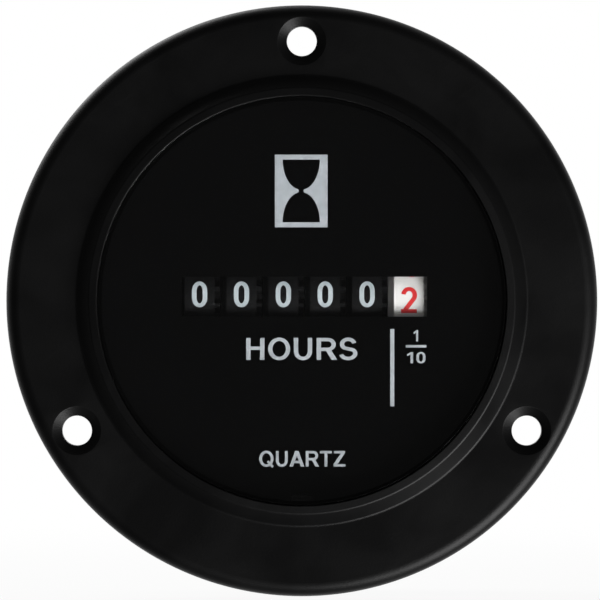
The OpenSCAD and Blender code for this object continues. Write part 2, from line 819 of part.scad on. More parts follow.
module cover_section() {
    edge = [barrel_r - cover_round, cover_back + cover_round];
    polygon(concat(
        [[0, barrel_end], [0, cover_back]],
        arc(edge, cover_round, -90, 0),
        [[barrel_r, barrel_end], [spigot_r, barrel_end], [spigot_r, board_back]],
        [[spigot_r - spigot_wall, board_back], [spigot_r - spigot_wall, barrel_end]]
    ));
}

module rear_cover() {
    slot = [blade_t + 2 * fit_gap, blade_w + 2 * fit_gap];
    collar = slot + 2 * [collar_wall, collar_wall];
    color("#1d1d1e") upright() difference() {
        union() {
            rotate_extrude() cover_section();
            for (side = [-1, 1])
                translate([side * blade_gap / 2 - collar[0] / 2, -collar[1] / 2, cover_back - collar_h])
                    cube([collar[0], collar[1], collar_h + cover_t / 2]);
        }
        for (side = [-1, 1]) translate([side * blade_gap / 2, 0, cover_back])
            cube([slot[0], slot[1], 4 * (cover_t + collar_h)], center = true);
    }
}

module terminal(side) {
    half_w = blade_w / 2;
    half_tail = tail_w / 2;
    hole_at = [0, blade_tip + blade_out / 2 - blade_hole_shift];
    x0 = side * blade_gap / 2 - blade_t / 2;
    color("#d8d6cf") upright() difference() {
        slab(x0, x0 + blade_t) polygon([
            [-half_tail, board_front + tail_out], [half_tail, board_front + tail_out],
            [half_tail, board_back], [half_w, board_back], [half_w, blade_tip + blade_taper],
            [half_w - blade_taper, blade_tip], [-half_w + blade_taper, blade_tip],
            [-half_w, blade_tip + blade_taper], [-half_w, board_back], [-half_tail, board_back]
        ]);
        rod(hole_at, x0 - over, x0 + blade_t + over, blade_hole_r);
    }
}

module terminal_positive() { terminal(1); }
module terminal_negative() { terminal(-1); }

bezel_case();
lens();
lens_seal();
dial();
movement_frame();
wheel_shaft();
pinion_shaft();
shaft_spacer();
number_wheel_tenths();
number_wheel_ones();
number_wheel_tens();
number_wheel_hundreds();
number_wheel_thousands();
number_wheel_ten_thousands();
carry_pinion_ones();
carry_pinion_tens();
carry_pinion_hundreds();
carry_pinion_thousands();
carry_pinion_ten_thousands();
drive_gear();
drive_gear_stud();
reduction_gear();
reduction_gear_stud();
rotor_pinion();
rotor_magnet();
stator();
coil_core();
coil_bobbin();
coil_winding();
motor_screws();
circuit_board();
board_screws();
quartz_crystal();
timer_chip();
smoothing_capacitor();
rectifier_diode();
input_resistor();
rear_cover();
terminal_positive();
terminal_negative();
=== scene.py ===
import json
import math

import bmesh
import bpy
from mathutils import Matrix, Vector
from mathutils.geometry import delaunay_2d_cdt

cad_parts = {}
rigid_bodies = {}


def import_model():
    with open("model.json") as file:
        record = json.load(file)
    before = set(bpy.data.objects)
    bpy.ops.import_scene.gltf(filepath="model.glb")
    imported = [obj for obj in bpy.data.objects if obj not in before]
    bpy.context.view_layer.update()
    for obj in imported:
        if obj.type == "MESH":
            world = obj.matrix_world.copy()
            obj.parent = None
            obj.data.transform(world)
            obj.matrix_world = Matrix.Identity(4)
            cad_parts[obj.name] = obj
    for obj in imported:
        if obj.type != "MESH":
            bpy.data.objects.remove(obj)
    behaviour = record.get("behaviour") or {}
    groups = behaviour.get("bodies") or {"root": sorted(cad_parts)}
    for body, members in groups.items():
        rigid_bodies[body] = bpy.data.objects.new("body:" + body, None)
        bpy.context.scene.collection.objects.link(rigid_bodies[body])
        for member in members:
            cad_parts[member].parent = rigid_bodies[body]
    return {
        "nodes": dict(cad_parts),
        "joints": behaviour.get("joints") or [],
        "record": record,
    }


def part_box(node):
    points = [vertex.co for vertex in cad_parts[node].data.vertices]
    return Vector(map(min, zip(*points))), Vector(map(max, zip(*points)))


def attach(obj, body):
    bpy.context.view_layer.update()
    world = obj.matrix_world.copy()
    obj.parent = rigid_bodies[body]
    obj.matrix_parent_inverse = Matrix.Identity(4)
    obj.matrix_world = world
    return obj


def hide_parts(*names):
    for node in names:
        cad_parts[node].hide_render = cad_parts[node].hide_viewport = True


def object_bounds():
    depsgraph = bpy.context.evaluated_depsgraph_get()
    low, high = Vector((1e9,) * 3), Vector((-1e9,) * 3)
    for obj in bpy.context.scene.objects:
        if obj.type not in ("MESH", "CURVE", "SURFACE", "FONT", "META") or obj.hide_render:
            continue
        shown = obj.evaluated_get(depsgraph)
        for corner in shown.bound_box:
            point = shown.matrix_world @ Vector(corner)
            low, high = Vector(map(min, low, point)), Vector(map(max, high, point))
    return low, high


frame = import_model()
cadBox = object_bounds()
mm = 0.001
scene = bpy.context.scene
scene.view_settings.view_transform = "Standard"
print("frame loaded:", len(frame["nodes"]), "nodes")


def feed(tree, node, sockets):  # links a socket, or sets a plain value
    for key, value in sockets.items():
        if isinstance(value, bpy.types.NodeSocket):
            tree.links.new(value, node.inputs[key])
        else:
            node.inputs[key].default_value = value


def put(tree, kind, sockets=None, **options):
    node = tree.nodes.new(kind)
    for key, value in options.items():
        setattr(node, key, value)
    feed(tree, node, sockets or {})
    return node


def meshObject(name, points, faces):
    mesh = bpy.data.meshes.new(name)
    mesh.from_pydata(points, [], faces)
    mesh.update()
    piece = bpy.data.objects.new(name, mesh)
    scene.collection.objects.link(piece)
    return piece


def finishPiece(piece, body, material):
    piece.data.materials.clear()
    piece.data.materials.append(material)
    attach(piece, body)


# Bold block letters, drawn as bars and swept strokes on a cap height of 1
letterStroke = {"upright": 0.19, "level": 0.155, "arcSteps": 20, "digitWidth": 0.66, "merge": 0.00001}
sideRoom = {  # room to the left and right of a letter
    "H": (0.1, 0.1), "O": (0.06, 0.06), "Q": (0.06, 0.06), "U": (0.1, 0.1), "R": (0.1, 0.02),
    "S": (0.05, 0.06), "A": (0.02, 0.0), "T": (0.04, 0.06), "Z": (0.05, 0.03),
    "1": (0.11, 0.16), "0": (0.06, 0.06),
}


def bar(x0, y0, x1, y1):
    return [[(x0, y0), (x1, y0), (x1, y1), (x0, y1)]]


def slant(x0, x1, y0, y1, width):  # level ends; x0 and x1 are the lower and upper left corners
    return [[(x0, y0), (x0 + width, y0), (x1 + width, y1), (x1, y1)]]


def arcPath(cx, cy, rx, ry, a0, a1):
    steps = max(4, int(abs(a1 - a0) / 360 * 2 * letterStroke["arcSteps"]))
    turns = [math.radians(a0 + (a1 - a0) * i / steps) for i in range(steps + 1)]
    return [(cx + rx * math.cos(t), cy + ry * math.sin(t)) for t in turns]


def sweep(path, closed=False):  # the nib is broader across than along, as in block lettering
    half = Vector((letterStroke["upright"] / 2, letterStroke["level"] / 2))
    count = len(path)
    left, right = [], []
    for i, point in enumerate(path):
        before = path[(i - 1) % count] if closed or i else point
        after = path[(i + 1) % count] if closed or i < count - 1 else point
        along = (Vector(after) - Vector(before)).normalized()
        offset = Vector((-along.y * half.x, along.x * half.y))
        left.append(tuple(Vector(point) + offset))
        right.append(tuple(Vector(point) - offset))
    pairs = [(i, (i + 1) % count) for i in range(count if closed else count - 1)]
    return [[right[i], right[k], left[k], left[i]] for i, k in pairs]


def ring(cx, cy, rx, ry):
    return sweep(arcPath(cx, cy, rx, ry, 0, 351), closed=True)


def glyph(letter):  # the strokes of a letter or digit, and its width
    u, v = letterStroke["upright"], letterStroke["level"]
    hu, hv = u / 2, v / 2
    wide = letterStroke["digitWidth"]
    if letter == "H":
        stems = bar(0, 0, u, 1) + bar(0.8 - u, 0, 0.8, 1)
        return stems + bar(u, 0.53 - hv, 0.8 - u, 0.53 + hv), 0.8
    if letter in "OQ":
        tail = [[(0.52, 0.3), (0.62, 0.4), (0.99, 0.03), (0.88, -0.09)]] if letter == "Q" else []
        return ring(0.485, 0.5, 0.485 - hu, 0.515 - hv) + tail, 0.97
    if letter == "U":
        bend = arcPath(0.4, 0.385, 0.4 - hu, 0.4 - hv, 180, 360)
        return sweep([(hu, 1)] + bend + [(0.8 - hu, 1)]), 0.8
    if letter == "R":
        bend = arcPath(0.49, 0.7, 0.35 - hu, 0.3 - hv, 90, -90)
        bowl = [(u, 1 - hv), (0.4, 1 - hv)] + bend + [(0.4, 0.4 + hv), (u, 0.4 + hv)]
        return bar(0, 0, u, 1) + sweep(bowl) + slant(0.655, 0.37, 0, 0.47, 0.25), 0.906
    if letter == "S":
        upper = arcPath(0.405, 0.715, 0.365 - hu, 0.3 - hv, 12, 232)
        lower = arcPath(0.405, 0.29, 0.405 - hu, 0.305 - hv, 48, -168)
        return sweep(upper + lower), 0.816
    if letter == "A":
        leg = 0.235
        apex = 0.5 - leg / 2
        legs = slant(0, apex, 0, 1, leg) + slant(1 - leg, apex, 0, 1, leg)
        return legs + bar(0.26, 0.22, 0.74, 0.22 + v), 1.0
    if letter == "T":
        return bar(0, 1 - v, 0.8, 1) + bar(0.4 - hu, 0, 0.4 + hu, 1 - v), 0.8
    if letter == "Z":
        return bar(0.03, 1 - v, 0.78, 1) + bar(0, 0, 0.81, v) + slant(0, 0.5, v, 1 - v, 0.265), 0.81
    if letter == "0":
        upper = arcPath(0.33, 0.63, 0.33 - hu, 0.385 - hv, 0, 180)
        lower = arcPath(0.33, 0.37, 0.33 - hu, 0.385 - hv, 180, 360)
        return sweep(upper + lower, closed=True), wide
    if letter == "1":
        flag = [[(0.24, 0.78), (0.27, 1.0), (0.0, 0.81), (0.0, 0.64)]]
        return bar(0.24, 0, 0.24 + u, 1) + flag, 0.445
    if letter == "2":
        neck = arcPath(0.335, 0.7, 0.33 - hu, 0.315 - hv, 172, -38)
        return sweep(neck + [(0.17, hv + 0.05)]) + bar(0, 0, wide, v), wide
    if letter == "3":
        upper = arcPath(0.325, 0.73, 0.29 - hu, 0.285 - hv, 165, -88)
        lower = arcPath(0.325, 0.28, 0.33 - hu, 0.295 - hv, 88, -168)
        return sweep(upper) + sweep(lower), wide
    if letter == "4":
        stem = bar(0.38, 0, 0.38 + u, 1)
        return stem + bar(0, 0.21, 0.69, 0.21 + v) + slant(0, 0.36, 0.34, 1, 0.2), 0.69
    if letter == "5":
        bowl = arcPath(0.325, 0.325, 0.335 - hu, 0.34 - hv, 125, -166)
        return bar(0.12, 1 - v, 0.62, 1) + slant(0.05, 0.12, 0.46, 1 - v, 0.18) + sweep(bowl), wide
    if letter in "69":
        hook = sweep(arcPath(0.36, 0.55, 0.36 - hu, 0.465 - hv, 192, 42))
        quads = ring(0.33, 0.325, 0.33 - hu, 0.34 - hv) + hook
        if letter == "9":
            quads = [[(wide - x, 1 - y) for x, y in quad] for quad in quads]
        return quads, wide
    if letter == "7":
        return bar(0, 1 - v, 0.65, 1) + slant(0.16, 0.42, 0, 1 - v, 0.225), 0.65
    if letter == "8":
        lower = ring(0.33, 0.28, 0.33 - hu, 0.295 - hv)
        return ring(0.33, 0.745, 0.29 - hu, 0.27 - hv) + lower, wide


def word(letters):
    quads, x = [], -sideRoom[letters[0]][0]
    for letter in letters:
        shape, width = glyph(letter)
        x += sideRoom[letter][0]
        quads += [[(px + x, py) for px, py in quad] for quad in shape]
        x += width + sideRoom[letter][1]
    return quads, x - sideRoom[letters[-1]][1]


def printedWord(letters, box):  # fitted to a box on the dial, in mm: left, right, foot, cap
    quads, width = word(letters)
    left, right, foot, cap = box
    across, up = (right - left) / width, cap - foot
    return [[(left + px * across, foot + py * up) for px, py in quad] for quad in quads]


def inkSheet(quads):  # strokes merged into one flat sheet, so that none lies on another
    corners, strokes = [], []
    for quad in quads:
        for triangle in (quad[:3], [quad[0], quad[2], quad[3]]):
            a, b, c = (Vector(point) for point in triangle)
            turn = (b - a).cross(c - a)
            if abs(turn) > letterStroke["merge"]:
                strokes.append(range(len(corners), len(corners) + 3))
                corners += [a, b, c] if turn > 0 else [a, c, b]
    insideOnly = 1  # triangles within the strokes' outer edge
    points, _, faces, _, _, sources = delaunay_2d_cdt(
        corners, [], strokes, insideOnly, letterStroke["merge"])
    return points, [face for face, source in zip(faces, sources) if source]


def maths(tree, operation, first, second=None):
    sockets = {0: first} if second is None else {0: first, 1: second}
    return put(tree, "ShaderNodeMath", sockets, operation=operation).outputs[0]


def scaled(tree, vector, factors):
    return put(tree, "ShaderNodeVectorMath", {0: vector, 1: factors}, operation="MULTIPLY").outputs[0]


def distance(tree, vector):
    return put(tree, "ShaderNodeVectorMath", {0: vector}, operation="LENGTH").outputs["Value"]


def noise(tree, vector, scale, detail, more=None):
    sockets = {"Vector": vector, "Scale": scale, "Detail": detail, **(more or {})}
    return put(tree, "ShaderNodeTexNoise", sockets).outputs[0]


def ranged(tree, value, low, high):  # 0 at low, 1 at high
    sockets = {"Value": value, "From Min": low, "From Max": high}
    return put(tree, "ShaderNodeMapRange", sockets).outputs[0]


def spread(tree, value, low, high):  # low at 0, high at 1
    return put(tree, "ShaderNodeMapRange", {"Value": value, "To Min": low, "To Max": high}).outputs[0]


def newGroup(name, inputs, outputs):
    tree = bpy.data.node_groups.new(name, "ShaderNodeTree")
    for label, kind, value in inputs:
        socket = tree.interface.new_socket(name=label, in_out="INPUT", socket_type="NodeSocket" + kind)
        if value is not None:
            socket.default_value = value
    for label in outputs:
        tree.interface.new_socket(name=label, in_out="OUTPUT", socket_type="NodeSocketFloat")
    given = tree.nodes.new("NodeGroupInput").outputs
    return tree, given, tree.nodes.new("NodeGroupOutput")


def mouldedGrainGroup():  # fine spark-eroded grain, dust specks, and slow clouding of the colour
    tree, given, result = newGroup(
        "mouldedGrain",
        [("Vector", "Vector", None), ("Grain Size", "Float", 0.0002), ("Cloud Size", "Float", 0.01)],
        ["Height", "Cloud", "Speck"])
    place = given["Vector"]
    grainScale = maths(tree, "DIVIDE", 1.0, given["Grain Size"])
    cloudScale = maths(tree, "DIVIDE", 1.0, given["Cloud Size"])
    cloud = noise(tree, place, cloudScale, 4.0, {"Roughness": 0.55, "Distortion": 0.6})
    speck = put(tree, "ShaderNodeTexVoronoi", {"Vector": place, "Scale": grainScale})
    feed(tree, result, {"Height": noise(tree, place, grainScale, 3.0, {"Roughness": 0.6}),
                        "Cloud": ranged(tree, cloud, 0.32, 0.68),
                        "Speck": ranged(tree, speck.outputs["Distance"], 0.16, 0.05)})
    return tree


def rubMarksGroup():  # thin handling marks that run one way, broken up by a slow mask
    tree, given, result = newGroup(
        "rubMarks",
        [("Vector", "Vector", None), ("Mark Length", "Float", 0.02), ("Mark Width", "Float", 0.0003)],
        ["Mask"])
    place = given["Vector"]
    across = maths(tree, "DIVIDE", 1.0, given["Mark Width"])
    along = maths(tree, "DIVIDE", 1.0, given["Mark Length"])
    scale = put(tree, "ShaderNodeCombineXYZ", {0: along, 1: across, 2: across}).outputs[0]
    turned = put(tree, "ShaderNodeVectorRotate", {"Vector": place, "Axis": (0, 1, 0), "Angle": 0.6})
    marks = noise(tree, scaled(tree, turned.outputs[0], scale), 1.0, 2.0)
    patches = ranged(tree, noise(tree, place, 90.0, 2.0), 0.45, 0.65)
    feed(tree, result, {"Mask": maths(tree, "MULTIPLY", ranged(tree, marks, 0.62, 0.72), patches)})
    return tree


def rolledMetalGroup():  # long streaks from rolling or drawing, with a slow tarnish
    tree, given, result = newGroup(
        "rolledMetal",
        [("Vector", "Vector", None), ("Streak", "Vector", (60.0, 9000.0, 9000.0))],
        ["Streaks", "Tarnish"])
    place = given["Vector"]
    tarnish = noise(tree, place, 700.0, 4.0)
    feed(tree, result, {"Streaks": noise(tree, scaled(tree, place, given["Streak"]), 1.0, 4.0),
                        "Tarnish": ranged(tree, tarnish, 0.4, 0.7)})
    return tree


mouldedGrain = mouldedGrainGroup()
rubMarks = rubMarksGroup()
rolledMetal = rolledMetalGroup()
print("shader groups built")


def newMaterial(name):
    material = bpy.data.materials.new(name)
    material.use_nodes = True
    tree = material.node_tree
    shader = tree.nodes["Principled BSDF"]
    place = put(tree, "ShaderNodeTexCoord").outputs["Object"]
    return material, tree, shader, place


def mixColour(tree, factor, first, second):
    sockets = {0: factor, 6: first, 7: second}
    return put(tree, "ShaderNodeMix", sockets, data_type="RGBA").outputs[2]


def bump(tree, height, depth, strength):
    sockets = {"Height": height, "Distance": depth, "Strength": strength}
    return put(tree, "ShaderNodeBump", sockets).outputs[0]


def shade(r, g, b):
    return (r, g, b, 1.0)


def grey(level):
    return shade(level, level, level)


def grainOf(tree, place, look):
    sockets = {"Vector": place, "Grain Size": look["grain"], "Cloud Size": look["cloud"]}
    return put(tree, "ShaderNodeGroup", sockets, node_tree=mouldedGrain).outputs


def mouldedPlastic(name, look):
    material, tree, shader, place = newMaterial(name)
    grain = grainOf(tree, place, look)
    rubs = put(tree, "ShaderNodeGroup", {"Vector": place}, node_tree=rubMarks).outputs
    clouded = mixColour(tree, grain["Cloud"], look["deep"], look["pale"])
    dust = spread(tree, grain["Speck"], 0.0, look["dust"])
    rub = spread(tree, rubs["Mask"], 0.0, look["rub"])
    dusted = mixColour(tree, dust, clouded, look["dustColour"])
    feed(tree, shader, {
        "Base Color": mixColour(tree, rub, dusted, look["dustColour"]),
        "Roughness": spread(tree, grain["Cloud"], *look["roughness"]),
        "Specular IOR Level": look["gloss"],
        "Normal": bump(tree, grain["Height"], look["relief"], strength=0.6)})
    return material


def rolledSheet(name, look):
    material, tree, shader, place = newMaterial(name)
    metal = put(tree, "ShaderNodeGroup", {"Vector": place, "Streak": look["streak"]},
                node_tree=rolledMetal).outputs
    streaked = mixColour(tree, metal["Streaks"], look["deep"], look["pale"])
    dulled = spread(tree, metal["Tarnish"], 0.0, look["dulled"])
    feed(tree, shader, {
        "Base Color": mixColour(tree, dulled, streaked, look["tarnish"]),
        "Roughness": spread(tree, metal["Streaks"], *look["roughness"]),
        "Metallic": 1.0,
        "Normal": bump(tree, metal["Streaks"], look["relief"], strength=0.5)})
    return material


# Sizes in a look are in metres
caseLook = {
    "grain": 0.00022, "cloud": 0.012, "deep": shade(0.0022, 0.0022, 0.0023),
    "pale": shade(0.0042, 0.0042, 0.0043), "dust": 0.03, "dustColour": grey(0.08), "rub": 0.03,
    "roughness": (0.36, 0.45), "gloss": 0.22, "relief": 0.00002,
}
coverLook = {**caseLook, "grain": 0.0003, "roughness": (0.42, 0.52), "relief": 0.00003}
dialLook = {
    "grain": 0.00012, "cloud": 0.008, "deep": shade(0.0003, 0.0003, 0.00032),
    "pale": shade(0.0005, 0.0005, 0.00053), "dust": 0.02, "dustColour": grey(0.06), "rub": 0.01,
    "roughness": (0.7, 0.8), "gloss": 0.02, "relief": 0.000006,
}
rubberLook = {**dialLook, "grain": 0.00015, "deep": grey(0.0005), "pale": grey(0.0008), "relief": 0.00001}
wheelLook = {
    **dialLook, "deep": shade(0.004, 0.004, 0.0042), "pale": shade(0.0065, 0.0065, 0.007),
    "roughness": (0.45, 0.55), "gloss": 0.1,
}
whiteWheelLook = {
    "grain": 0.00015, "cloud": 0.004, "deep": shade(0.86, 0.84, 0.82), "pale": shade(0.93, 0.91, 0.89),
    "dust": 0.06, "dustColour": shade(0.5, 0.47, 0.44), "rub": 0.1, "roughness": (0.45, 0.6),
    "gloss": 0.4, "relief": 0.000008,
}
frameLook = {
    "grain": 0.0003, "cloud": 0.01, "deep": shade(0.075, 0.075, 0.072), "pale": shade(0.105, 0.104, 0.1),
    "dust": 0.1, "dustColour": shade(0.16, 0.155, 0.145), "rub": 0.1, "roughness": (0.45, 0.6),
    "gloss": 0.4, "relief": 0.00002,
}
gearLook = {
    **frameLook, "grain": 0.0001, "deep": shade(0.66, 0.61, 0.49), "pale": shade(0.76, 0.72, 0.6),
    "dustColour": shade(0.3, 0.29, 0.26), "roughness": (0.35, 0.5), "relief": 0.000006,
}
magnetLook = {
    **caseLook, "grain": 0.00008, "deep": shade(0.05, 0.05, 0.052), "pale": shade(0.09, 0.09, 0.095),
    "roughness": (0.4, 0.6), "relief": 0.00001,
}
steelLook = {
    "streak": (90.0, 12000.0, 12000.0), "deep": shade(0.46, 0.46, 0.47), "pale": grey(0.66),
    "tarnish": shade(0.32, 0.31, 0.3), "dulled": 0.35, "roughness": (0.22, 0.38), "relief": 0.000002,
}
coreLook = {
    **steelLook, "streak": (9000.0, 9000.0, 150.0), "deep": shade(0.4, 0.41, 0.43),
    "pale": shade(0.55, 0.56, 0.58), "roughness": (0.3, 0.45),
}
tinLook = {
    "streak": (9000.0, 200.0, 7000.0), "deep": shade(0.56, 0.54, 0.49), "pale": shade(0.72, 0.7, 0.65),
    "tarnish": shade(0.42, 0.38, 0.3), "dulled": 0.35, "roughness": (0.24, 0.42), "relief": 0.000003,
}
crystalLook = {
    **steelLook, "streak": (200.0, 9000.0, 9000.0), "deep": shade(0.62, 0.62, 0.63),
    "pale": shade(0.76, 0.76, 0.77), "roughness": (0.14, 0.28),
}

lensLook = {
    "deep": shade(0.97, 0.985, 0.985), "pale": shade(0.995, 1.0, 1.0), "filmScale": 240.0, "filmDull": 0.035,
    # the edge tint is painted shade: it darkens the rim ring to dim its glint
    "edge": (0.02434, 0.02438), "edgeShadeColour": grey(0.02), "edgeDull": 0.25, "ior": 1.49,
}


def lensMaterial(look):  # clear moulded lens, with a faint film of handling, a dull edge, and painted shade: a dark tint on the rim ring that dims the glint it would catch
    material, tree, shader, place = newMaterial("lensClear")
    film = noise(tree, place, look["filmScale"], 5.0, {"Distortion": 0.8})
    tint = mixColour(tree, film, look["deep"], look["pale"])
    edge = ranged(tree, distance(tree, scaled(tree, place, (1, 0, 1))), *look["edge"])
    filmDull = spread(tree, film, 0.0, look["filmDull"])
    feed(tree, shader, {
        # the dark tint over the rim ring is painted shade, put there to dim the rim's glint
        "Base Color": mixColour(tree, edge, tint, look["edgeShadeColour"]),
        "Roughness": maths(tree, "ADD", filmDull, spread(tree, edge, 0.0, look["edgeDull"])),
        "IOR": look["ior"],
        "Transmission Weight": 1.0})
    return material


inkLayer = {
    "grain": 0.00011, "cloud": 0.0016, "pinholes": 0.12, "roughness": (0.5, 0.62), "gloss": 0.3,
    "relief": 0.000004,
}
dialInkLook = {
    **inkLayer, "deep": shade(0.38, 0.405, 0.43), "pale": shade(0.45, 0.48, 0.51), "under": grey(0.1),
}
digitInkLook = {
    **inkLayer, "deep": shade(0.485, 0.545, 0.57), "pale": shade(0.555, 0.614, 0.645),
    "under": shade(0.2, 0.2, 0.22),
}
tenthsInkLook = {
    **inkLayer, "deep": shade(0.68, 0.022, 0.024), "pale": shade(0.75, 0.035, 0.035),
    "under": shade(0.7, 0.3, 0.3),
}


def makeInk(name, look):  # uneven density, with pinholes to what lies under it
    material, tree, shader, place = newMaterial(name)
    grain = grainOf(tree, place, look)
    density = mixColour(tree, grain["Cloud"], look["deep"], look["pale"])
    pinholes = spread(tree, grain["Speck"], 0.0, look["pinholes"])
    feed(tree, shader, {
        "Base Color": mixColour(tree, pinholes, density, look["under"]),
        "Roughness": spread(tree, grain["Cloud"], *look["roughness"]),
        "Specular IOR Level": look["gloss"],
        "Normal": bump(tree, grain["Height"], look["relief"], strength=0.5)})
    return material


windingLook = {
    "turns": 1150.0, "deep": shade(0.2, 0.06, 0.02), "pale": shade(0.62, 0.24, 0.09),
    "roughness": (0.45, 0.25), "metal": 0.8, "relief": 0.00004,
}


def windingMaterial(look):  # enamelled wire: close turns round the bobbin's upright axis
    material, tree, shader, place = newMaterial("copperWire")
    sockets = {"Vector": place, "Scale": look["turns"], "Distortion": 0.4, "Detail": 1.0}
    turns = put(tree, "ShaderNodeTexWave", sockets, bands_direction="Z").outputs["Fac"]
    feed(tree, shader, {
        "Base Color": mixColour(tree, turns, look["deep"], look["pale"]),
        "Roughness": spread(tree, turns, *look["roughness"]),
        "Metallic": look["metal"],
        "Normal": bump(tree, turns, look["relief"], strength=0.8)})
    return material


boardLook = {
    "tracks": 260.0, "trackEdge": (0.12, 0.07), "weave": 5200.0, "deep": shade(0.012, 0.09, 0.035),
    "pale": shade(0.02, 0.13, 0.05), "track": shade(0.05, 0.24, 0.09), "roughness": (0.28, 0.4),
    "relief": 0.00003,
}


def boardMaterial(look):  # green solder mask over etched tracks
    material, tree, shader, place = newMaterial("boardGreen")
    tracks = put(tree, "ShaderNodeTexVoronoi", {"Vector": place, "Scale": look["tracks"]},
                 distance="MANHATTAN", feature="DISTANCE_TO_EDGE")
    line = ranged(tree, tracks.outputs[0], *look["trackEdge"])
    weave = noise(tree, place, look["weave"], 2.0)
    mask = mixColour(tree, weave, look["deep"], look["pale"])
    feed(tree, shader, {
        "Base Color": mixColour(tree, line, mask, look["track"]),
        "Roughness": spread(tree, weave, *look["roughness"]),
        "Normal": bump(tree, line, look["relief"], strength=0.6)})
    return material


def centred(tree, place, node):  # object coordinates counted from the middle of a node
    low, high = (Vector(corner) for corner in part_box(node))
    middle = (low + high) / 2
    shift = put(tree, "ShaderNodeMapping", {"Vector": place, "Location": tuple(-middle)})
    return put(tree, "ShaderNodeSeparateXYZ", {0: shift.outputs[0]}).outputs, (high - low) / 2


tinned = shade(0.62, 0.61, 0.58)
tan = shade(0.55, 0.4, 0.22)
glassBlack = shade(0.014, 0.014, 0.015)
bandLayer = {"grain": 6000.0, "worn": 0.25, "wornColour": grey(0.02), "relief": 0.000006}
resistorLook = {**bandLayer, "roughness": (0.25, 0.4), "bands": [
    (0.0, tinned), (0.16, tan), (0.28, shade(0.3, 0.12, 0.03)), (0.34, tan), (0.42, grey(0.01)),
    (0.48, tan), (0.55, shade(0.5, 0.02, 0.02)), (0.61, tan), (0.7, shade(0.45, 0.3, 0.06)),
    (0.76, tan), (0.85, tinned)]}
diodeLook = {**bandLayer, "roughness": (0.35, 0.5), "bands": [
    (0.0, tinned), (0.2, glassBlack), (0.66, grey(0.5)), (0.74, glassBlack), (0.8, tinned)]}


def bandedPart(name, node, look):  # a small axial part with bands of colour round it and bare leads
    material, tree, shader, place = newMaterial(name)
    axes, half = centred(tree, place, node)
    ramp = put(tree, "ShaderNodeValToRGB", {"Fac": ranged(tree, axes[0], -half.x, half.x)})
    ramp.color_ramp.interpolation = "CONSTANT"
    for start, colour in look["bands"]:
        ramp.color_ramp.elements.new(start).color = colour
    grain = noise(tree, place, look["grain"], 3.0)
    worn = spread(tree, grain, 0.0, look["worn"])
    feed(tree, shader, {
        "Base Color": mixColour(tree, worn, ramp.outputs[0], look["wornColour"]),
        "Roughness": spread(tree, grain, *look["roughness"]),
        "Normal": bump(tree, grain, look["relief"], strength=0.4)})
    return material


chipLook = {
    "leadsFrom": 0.67, "grain": 9000.0, "deep": shade(0.012, 0.012, 0.013), "pale": shade(0.03, 0.03, 0.032),
    "roughness": (0.4, 0.6), "relief": 0.00001,
}


def chipMaterial(look):  # grained black body on tinned leads
    material, tree, shader, place = newMaterial("chipBlack")
    axes, half = centred(tree, place, "timer_chip")
    leads = maths(tree, "GREATER_THAN", maths(tree, "ABSOLUTE", axes[2]), half.z * look["leadsFrom"])
    grain = noise(tree, place, look["grain"], 3.0)
    body = mixColour(tree, grain, look["deep"], look["pale"])
    feed(tree, shader, {
        "Base Color": mixColour(tree, leads, body, tinned),
        "Metallic": leads,
        "Roughness": spread(tree, grain, *look["roughness"]),
        "Normal": bump(tree, grain, look["relief"], strength=0.5)})
    return material


sleeveLook = {
    "stripeFrom": 0.82, "dashes": 1400.0, "dashGap": 0.35, "stripe": shade(0.5, 0.51, 0.54), "grain": 1500.0,
    "deep": shade(0.014, 0.018, 0.045), "pale": shade(0.025, 0.03, 0.065), "roughness": (0.2, 0.35),
    "relief": 0.00001,
}


def sleeveMaterial(look):  # shrunk sleeve with a dashed pale stripe down one side
    material, tree, shader, place = newMaterial("capacitorSleeve")
    axes, half = centred(tree, place, "smoothing_capacitor")
    side = maths(tree, "GREATER_THAN", axes[0], half.x * look["stripeFrom"])
    beat = maths(tree, "FRACT", maths(tree, "MULTIPLY", axes[1], look["dashes"]))
    stripe = maths(tree, "MULTIPLY", side, maths(tree, "GREATER_THAN", beat, look["dashGap"]))
    grain = noise(tree, place, look["grain"], 3.0)
    sleeve = mixColour(tree, grain, look["deep"], look["pale"])
    feed(tree, shader, {
        "Base Color": mixColour(tree, stripe, sleeve, look["stripe"]),
        "Roughness": spread(tree, grain, *look["roughness"]),
        "Normal": bump(tree, grain, look["relief"], strength=0.4)})
    return material


# Finishes by the record's material slot, and those of single nodes that share a slot
finishes = {
    "case_black": mouldedPlastic("caseBlack", caseLook),
    "lens_clear": lensMaterial(lensLook),
    "seal_rubber": mouldedPlastic("sealRubber", rubberLook),
    "dial_black": mouldedPlastic("dialBlack", dialLook),
    "frame_grey": mouldedPlastic("frameGrey", frameLook),
    "steel": rolledSheet("drawnSteel", steelLook),
    "wheel_black": mouldedPlastic("wheelBlack", wheelLook),
    "wheel_white": mouldedPlastic("wheelWhite", whiteWheelLook),
    "gear_ivory": mouldedPlastic("gearIvory", gearLook),
    "magnet": mouldedPlastic("sinteredMagnet", magnetLook),
    "core_steel": rolledSheet("coreSteel", coreLook),
    "copper_wire": windingMaterial(windingLook),
    "board_green": boardMaterial(boardLook),
    "crystal_can": rolledSheet("crystalCan", crystalLook),
    "capacitor_sleeve": sleeveMaterial(sleeveLook),
    "resistor_tan": bandedPart("resistorTan", "input_resistor", resistorLook),
    "terminal_tin": rolledSheet("terminalTin", tinLook),
}
byNode = {
    "rear_cover": mouldedPlastic("coverBlack", coverLook),
    "timer_chip": chipMaterial(chipLook),
    "rectifier_diode": bandedPart("diodeBlack", "rectifier_diode", diodeLook),
}

for part in frame["record"]["subparts"]:
    node = frame["nodes"][part["node"]]
    node.data.materials.clear()
    node.data.materials.append(byNode.get(part["node"]) or finishes[part["material_slot"]])
print("materials set:", len(bpy.data.materials))


